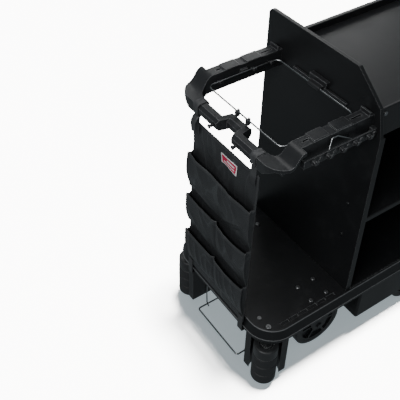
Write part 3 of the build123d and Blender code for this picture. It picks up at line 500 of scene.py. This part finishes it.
def sheetWave(y, z):
    # broad soft hollows of a hanging sheet, positive inward
    top = clamp((z - sheetLook["wavesFrom"]) / sheetLook["wavesOver"])
    calm = clamp((sheetHigh[2] - z) / sheetLook["topCalm"])
    waves = sum(height * math.sin(across * y + up * z + start)
                for height, across, up, start in sheetLook["ridges"])
    for depth, place, size in sheetLook["dimples"]:
        waves += depth * math.exp(-((y - place[0]) / size[0]) ** 2 - ((z - place[1]) / size[1]) ** 2)
    sag = sheetLook["topSag"] * math.cos(y / halfWidth * math.pi / 2) * (1 - calm)
    return top * calm * waves + top * sag


def sheetPoint(y, z, lift=0.0):
    return np.array([sheetFace(z) + sheetWave(y, z) - lift, y, z])


columns = int(2 * halfWidth / sheetLook["cell"])
rows = int((sheetHigh[2] - sheetLow[2]) / sheetLook["cell"])
sheetPoints = []
for z in np.linspace(sheetLow[2], sheetHigh[2], rows + 1):
    for y in np.linspace(-halfWidth, halfWidth, columns + 1):
        share = (z - sheetLow[2]) / (sheetHigh[2] - sheetLow[2])
        drop = share ** sheetLook["dipUp"] * (1 - (y / halfWidth) ** sheetLook["dipAcross"])
        shift = np.array([sheetLook["inside"], 0, -sheetLook["edgeDip"] * drop])
        sheetPoints.append(sheetPoint(y, z) + shift)
sheetGrid = np.array(sheetPoints).reshape(rows + 1, columns + 1, 3)
sheet = makePiece("organizerSheet", sheetPoints, gridFaces(rows + 1, columns + 1), ["nylon_fabric"])
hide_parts("organizer_sheet")

# the three rows of pockets, from the top one down
pocketLook = {
    "lips": (0.816, 0.641, 0.476), "floors": (0.650, 0.485, 0.332), "reach": 0.018, "fullBy": 1.5,
    "dipNear": (0.009, 0.015, 0.012), "dipFar": (0.004, 0.003, 0.003), "rise": (0.010, 0.022, 0.0),
    "riseFrom": 0.25, "pleats": (0.0006, 0.0008, 0.0012), "pleatTurns": (19, 2.1, 2.0), "thickness": 0.0014,
    "gusset": 5, "front": 80, "tiers": 40, "inset": 0.001, "offSheet": 0.0008, "gussetFold": 0.0045,
    "seamWidth": 0.05, "topSeam": (0.7, 1.8), "seam": (0.62, 0.34), "lap": 0.0018, "lapWidth": 0.12,
    "groove": 0.0032, "grooveHalf": 0.012, "mouthShift": 0.15, "mouthCurve": 1.3, "creaseGain": 1.6,
    "creaseFall": 1.5, "creaseEnds": 0.45, "looseBy": 0.2, "looseSides": 8,
}
# each crease runs from one place to another on a panel, across from -1 to 1 and up from 0 to 1,
# then its height and its half width
creases = (
    ((0.95, 0.25, 0.02, 0.02, 0.0042, 0.008), (0.00, 0.04, -0.98, 0.62, 0.0036, 0.006),
     (-0.03, 0.92, -0.14, 0.52, 0.0032, 0.006), (-0.35, 0.95, -0.62, 0.55, 0.0030, 0.009),
     (0.70, 0.95, 0.45, 0.50, 0.0022, 0.012), (-0.45, 0.10, -0.85, 0.34, -0.0030, 0.012)),
    ((0.90, 0.60, 0.30, 0.12, 0.0034, 0.010), (0.55, 0.95, 0.25, 0.45, 0.0022, 0.010),
     (-0.12, 0.92, -0.30, 0.30, 0.0036, 0.007), (-0.30, 0.95, -0.66, 0.36, 0.0040, 0.008),
     (-0.20, 0.30, -0.75, 0.12, 0.0030, 0.009), (0.10, 0.70, 0.22, 0.10, -0.0025, 0.010)),
    ((0.86, 0.90, 0.74, 0.06, 0.0036, 0.007), (0.62, 0.86, 0.46, 0.04, 0.0042, 0.006),
     (0.40, 0.70, 0.28, 0.04, 0.0036, 0.006), (0.20, 0.88, 0.13, 0.08, 0.0030, 0.007),
     (-0.14, 0.92, -0.30, 0.04, 0.0042, 0.006), (-0.26, 0.84, -0.40, 0.04, 0.0036, 0.005),
     (-0.42, 0.92, -0.66, 0.16, 0.0040, 0.008), (-0.70, 0.80, -0.84, 0.10, 0.0030, 0.007)),
)


def creaseHeight(marks, u, v, tall):
    height, ends = 0.0, pocketLook["creaseEnds"]
    for u0, v0, u1, v1, rise, wide in marks:
        alongY, alongZ = (u1 - u0) * halfWidth, (v1 - v0) * tall
        pointY, pointZ = (u - u0) * halfWidth, (v - v0) * tall
        share = clamp((pointY * alongY + pointZ * alongZ) / (alongY ** 2 + alongZ ** 2))
        away = math.hypot(pointY - share * alongY, pointZ - share * alongZ)
        fullness = ends + (1 - ends) * math.sin(math.pi * share)
        height += rise * math.exp(-(away / wide) ** pocketLook["creaseFall"]) * fullness
    return height


def pocketMouth(row, u):
    # how far the lip hangs at a place across it
    look = pocketLook
    if row == 0:  # the top row has one mouth, so its lip hangs in one curve
        return look["dipNear"][0] * max(0.0, 1 - (u + look["mouthShift"]) ** 2) ** look["mouthCurve"]
    dip = look["dipNear"][row] if u < 0 else look["dipFar"][row]
    return dip * math.sin(math.pi * abs(u))


def pocketRow(row):
    # plan view of the row runs sheet edge, gusset, front panel, gusset, sheet edge
    look = pocketLook
    lip, floorZ, rise = look["lips"][row], look["floors"][row], look["rise"][row]
    gusset, front, tiers = look["gusset"], look["front"], look["tiers"]
    turns, turnsByRow, turnsUp = look["pleatTurns"]
    seamLow, seamFade = look["seam"] if row else look["topSeam"]
    panelHalf = halfWidth - look["inset"]
    points = np.zeros((tiers + 1, 2 * gusset + front + 1, 3))
    for i in range(tiers + 1):
        v = i / tiers
        z = floorZ + v * (lip - floorZ)
        bulge = look["reach"] * math.sin(min(1.0, look["fullBy"] * v) * math.pi / 2)
        for j in range(points.shape[1]):
            if j < gusset or j > gusset + front:
                near = j < gusset
                part = (j if near else 2 * gusset + front - j) / gusset
                fold = look["gussetFold"] * math.sin(part * math.pi) * v
                lift = 0.0 if near else rise * (1 - v) ** 2
                points[i, j] = sheetPoint((-1 if near else 1) * (panelHalf - fold), z + lift,
                                          look["offSheet"] + part * bulge)
                continue
            u = 2 * (j - gusset) / front - 1
            seam = math.exp(-(u / look["seamWidth"]) ** 2) * max(0, seamLow - seamFade * v)
            pleat = look["pleats"][row] * math.sin(u * turns + turnsByRow * row + turnsUp * v) * (1 - v)
            inner = min(v / look["looseBy"], 1.0) * (1 - abs(u) ** look["looseSides"])
            fold = creaseHeight(creases[row], u, v, lip - floorZ) * inner * look["creaseGain"]
            if row:  # the middle seam, where the near pocket laps over the far one
                fold += look["lap"] * math.exp(-abs(u) / look["lapWidth"]) * (u < 0)
                fold -= look["groove"] * (abs(u) < look["grooveHalf"])
            lift = look["offSheet"] + bulge * (1 - seam) + pleat * inner
            tilt = rise * (max(0.0, u - look["riseFrom"]) / (1 - look["riseFrom"])) ** 2 * (1 - v) ** 2
            hang = pocketMouth(row, u) * v ** 3
            points[i, j] = sheetPoint(u * panelHalf, z, lift) + np.array([-fold, 0, tilt - hang])
    for point in points.reshape(-1, 3):  # nothing goes into the backing sheet
        wall = sheetFace(point[2]) + sheetWave(point[1], point[2])
        point[0] = min(point[0], wall - look["offSheet"])
    return points


panelGrids = [pocketRow(row) for row in range(3)]
panels = joinParts([(list(grid.reshape(-1, 3)), gridFaces(*grid.shape[:2])) for grid in panelGrids])
pockets = makePiece("organizerPockets", *panels, ["nylon_fabric"])
thicken(pockets, pocketLook["thickness"])
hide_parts("organizer_pockets")
thicken(sheet, sheetLook["thickness"])
print("organizer sheet and pockets:", len(sheet.data.polygons) + len(pockets.data.polygons), "faces")


def gridNormals(grid):
    return unit(np.cross(np.gradient(grid, axis=1), np.gradient(grid, axis=0)))


# tape widths and gaps, then the cord on the gusset edges
bindingLook = {
    "lipWidth": 0.011, "lipTape": 0.0012, "sideWidth": 0.008, "topWidth": 0.010, "sheetTape": 0.0008,
    "turn": 0.0012, "past": 0.0006, "turnShare": 0.6, "insideShare": 0.55, "pipingRadius": 0.0017,
    "pipingShift": (-0.0010, 0.0006), "lipSeam": (0.8, 0.52), "bottomSeam": (-0.0012, 0.003),
    "sideSeam": 0.0065, "topSeam": 0.008, "seamLift": 0.0020,
}


def foldedTape(edge, inward, normals, width, gap):
    # a tape folded over an edge: down one side, round the edge, and up the other
    half, turn, past = gap / 2, bindingLook["turn"], -bindingLook["past"]
    rim = half * bindingLook["turnShare"]
    lap = [(width, half), (width * 0.5, half), (turn, half), (past, rim), (past, -rim),
           (turn, -half), (width * 0.5, -half), (width, -half)]
    points = [edge + inward * along + normals * up for along, up in lap]
    thick = [edge + inward * along + normals * (up * bindingLook["insideShare"])
             for along, up in ((width, half), (width, -half))]
    grid = np.array(points + thick[::-1])
    return list(grid.reshape(-1, 3)), gridFaces(len(grid), len(edge), closed=True)


def piping(points, radius, sides=8):
    # a round cord sewn along a nearly upright edge
    tangent = unit(np.gradient(points, axis=0))
    first = unit(np.cross(tangent, np.array([0.0, 1.0, 0.0])))
    second = np.cross(tangent, first)
    rings = [points + radius * (math.cos(a) * first + math.sin(a) * second)
             for a in np.linspace(0, 2 * math.pi, sides, endpoint=False)]
    faces = gridFaces(sides, len(points), closed=True)
    faces.append(tuple(k * len(points) for k in range(sides))[::-1])
    faces.append(tuple((k + 1) * len(points) - 1 for k in range(sides)))
    return list(np.array(rings).reshape(-1, 3)), faces


def alike(direction, edge):
    return np.tile(np.array(direction, float), (len(edge), 1))


tape, stitches = [], []
lipWidth, lipGap = bindingLook["lipWidth"], pocketLook["thickness"] + 2 * bindingLook["lipTape"]
for grid in panelGrids:
    normals = gridNormals(grid)[-1]
    inward = unit(grid[-3] - grid[-1])
    tape.append(foldedTape(grid[-1], inward, normals, lipWidth, lipGap))
    seamIn, seamOut = bindingLook["lipSeam"]
    stitches.append(stitchRow(grid[-1] + inward * lipWidth * seamIn + normals * lipGap * seamOut, normals))
    shiftX, shiftY = bindingLook["pipingShift"]
    for column, side in ((pocketLook["gusset"], -1), (-1 - pocketLook["gusset"], 1)):
        corner = grid[2:, column] + np.array([shiftX, side * shiftY, 0.0])
        tape.append(piping(corner, bindingLook["pipingRadius"]))
    bottomX, bottomZ = bindingLook["bottomSeam"]
    bottom = grid[0] + np.array([bottomX, 0, bottomZ])
    stitches.append(stitchRow(bottom, alike((-1, 0, 0), bottom)))
sheetGap = sheetLook["thickness"] + 2 * bindingLook["sheetTape"]
sheetEdges = ((sheetGrid[:, 0], (0, 1, 0), bindingLook["sideWidth"], bindingLook["sideSeam"]),
              (sheetGrid[:, -1], (0, -1, 0), bindingLook["sideWidth"], bindingLook["sideSeam"]),
              (sheetGrid[-1], (0, 0, -1), bindingLook["topWidth"], bindingLook["topSeam"]))
for edge, direction, width, seamIn in sheetEdges:
    inward, outward = alike(direction, edge), alike((-1, 0, 0), edge)
    tape.append(foldedTape(edge, inward, outward, width, sheetGap))
    stitches.append(stitchRow(edge + inward * seamIn + outward * bindingLook["seamLift"], outward))
binding = makePiece("organizerBinding", *joinParts(tape), ["nylonBinding"])
thread = makePiece("organizerStitches", *joinParts(stitches), ["nylonBinding"])
print("binding and stitches made")

# the straps' paths: each pair is how far out from the bar's middle, then how far down
strapLook = {
    "width": 0.025, "thickness": 0.0016, "inset": 0.138, "gap": 0.0007, "toBar": 0.0085, "barHeight": 0.992,
    "barHalf": 0.019, "loopBend": 0.011, "tailEnd": 0.903, "offSheet": 0.0024, "tailBend": 0.012,
    "looseBend": 0.014, "tabTop": 0.024, "tabTurn": 0.018, "tabOut": 0.0012, "tabUp": 0.0009,
    "tabEnd": -0.0015, "tabBend": 0.004, "round": 0.0006, "middle": 1.1, "tailOver": 0.006,
    "tailStart": ((0.002, 0.0005), (0.012, 0.001)), "looseStart": ((0.004, 0.0022), (0.020, 0.004)),
    "looseEnd": ((0.031, 0.046), (0.027, 0.082)),
}
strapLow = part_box("organizer_straps")[0]


def webbing(path, y, closed=False):
    # flat strap with rounded edges that follows a path in the side view
    path = np.array(path)
    if closed:
        tangent = unit(np.roll(path, -1, axis=0) - np.roll(path, 1, axis=0))
    else:
        tangent = unit(np.gradient(path, axis=0))
    normal = np.stack([tangent[:, 1], -tangent[:, 0]], axis=1)
    half, thin = strapLook["width"] / 2, strapLook["thickness"] / 2
    inner, full = half - strapLook["round"], thin * strapLook["middle"]
    profile = [(-half, 0), (-inner, thin), (-half / 2, full), (0, thin), (half / 2, full), (inner, thin),
               (half, 0), (inner, -thin), (half / 2, -full), (0, -thin), (-half / 2, -full), (-inner, -thin)]
    verts = []
    for point, across in zip(path, normal):
        for side, up in profile:
            verts.append((point[0] + across[0] * up, y + side, point[1] + across[1] * up))
    count, ring = len(path), len(profile)
    faces = []
    for i in range(count if closed else count - 1):
        for k in range(ring):
            a, b = i * ring + k, i * ring + (k + 1) % ring
            after = ((i + 1) % count - i) * ring
            faces.append((a, b, b + after, a + after))
    if not closed:
        faces.append(tuple(range(ring))[::-1])
        faces.append(tuple((count - 1) * ring + k for k in range(ring)))
    return [np.array(v) for v in verts], faces


def rounded(corners, radius, closed=False, steps=6):
    # the corners of a path, each turned into a short arc
    corners = [np.array(c, float) for c in corners]
    count = len(corners)
    path = []
    for i, corner in enumerate(corners):
        if not closed and i in (0, count - 1):
            path.append(corner)
            continue
        before, after = corners[i - 1], corners[(i + 1) % count]
        reachIn = min(radius, np.linalg.norm(before - corner) * 0.45)
        reachOut = min(radius, np.linalg.norm(after - corner) * 0.45)
        first = corner + unit(before - corner) * reachIn
        last = corner + unit(after - corner) * reachOut
        for step in range(steps + 1):
            t = step / steps
            path.append((1 - t) ** 2 * first + 2 * t * (1 - t) * corner + t ** 2 * last)
    return path


barX, barZ = sheetHigh[0] + strapLook["toBar"], strapLook["barHeight"]
loopHalf = strapLook["barHalf"] + strapLook["gap"] + strapLook["thickness"] / 2
loopLow, sheetTop, tabLow = barZ - loopHalf, sheetHigh[2], strapLow[2] + strapLook["tabUp"]
loop = rounded([(barX - loopHalf, loopLow), (barX - loopHalf, barZ + loopHalf),
                (barX + loopHalf, barZ + loopHalf), (barX + loopHalf, loopLow)], strapLook["loopBend"],
               closed=True)
tail = [(barX - out, loopLow - down) for out, down in strapLook["tailStart"]]
for z, over in ((sheetTop, strapLook["tailOver"]), (strapLook["tailEnd"], 0.0)):
    tail.append((sheetFace(z) - strapLook["offSheet"], z + over))
tail = rounded(tail, strapLook["tailBend"])
loose = [(barX - out, loopLow - down) for out, down in strapLook["looseStart"]]
loose += [(barX - out, barZ - down) for out, down in strapLook["looseEnd"]]
loose = rounded(loose, strapLook["looseBend"])
tabX = sheetLow[0] - strapLook["tabOut"] - strapLook["thickness"] / 2
tab = rounded([(tabX, sheetLow[2] + strapLook["tabTop"]), (tabX, sheetLow[2] - strapLook["tabTurn"]),
               (tabX, tabLow), (strapLook["tabEnd"] + sheetHigh[0], tabLow)], strapLook["tabBend"])
for side, end in ((-1, "Near"), (1, "Far")):
    y = side * strapLook["inset"]
    parts = [webbing(loop, y, closed=True), webbing(tail, y)]
    if side > 0:
        parts.append(webbing(loose, y))  # the far strap's end hangs free
    band = makePiece("organizerStrap" + end, *joinParts(parts), ["nylonBinding"])
    hook = makePiece("organizerTab" + end, *webbing(tab, side * (halfWidth - strapLook["width"] / 2)),
                     ["nylonBinding"])
    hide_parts("organizer_straps")
    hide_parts("organizer_straps")
print("straps made")

# the label's cells, and the rows and columns of cells that its two plain bars take up
labelLook = {
    "low": (-0.0615, 0.870), "high": (0.0165, 0.908), "cells": (39, 19), "lift": 0.0007, "thickness": 0.0008,
    "border": 2, "bars": ((5, 6, 6, 32), (10, 12, 6, 24)), "fleckSize": (1300.0, 1300.0, 400.0),
    "fade": 0.82, "rough": 0.42, "fleckRough": 0.2, "fleckDepth": 0.0001, "fleckBump": 0.5,
}
printed = {"labelWhite": colour(0.86, 0.85, 0.85), "labelRed": colour(0.55, 0.010, 0.065)}
for printName, ink in printed.items():
    f = Finish(printName)
    fleck = f.noise(1.0, 3.0, 0.6, f.stretch(labelLook["fleckSize"]))
    base = f.mixColour(fleck, ink, colour(*(labelLook["fade"] * part for part in ink[:3])))
    finishes[printName] = f.close({
        "Base Color": base, "Roughness": labelLook["rough"] + fleck * labelLook["fleckRough"],
        "Normal": f.bump(fleck, labelLook["fleckDepth"], labelLook["fleckBump"])})
wide, tall = labelLook["cells"]
labelPoints = [sheetPoint(y, z, labelLook["lift"])
               for z in np.linspace(labelLook["low"][1], labelLook["high"][1], tall + 1)
               for y in np.linspace(labelLook["low"][0], labelLook["high"][0], wide + 1)]
label = makePiece("organizerLabel", labelPoints, gridFaces(tall + 1, wide + 1), ["labelWhite", "labelRed"])
edgeCells = labelLook["border"]
for k, face in enumerate(label.data.polygons):
    i, j = divmod(k, wide)
    border = min(i, j, tall - 1 - i, wide - 1 - j) < edgeCells
    bar = any(low <= i <= high and first <= j <= last for low, high, first, last in labelLook["bars"])
    face.material_index = 0 if border or bar else 1
thicken(label, labelLook["thickness"], 0)
print("label made")
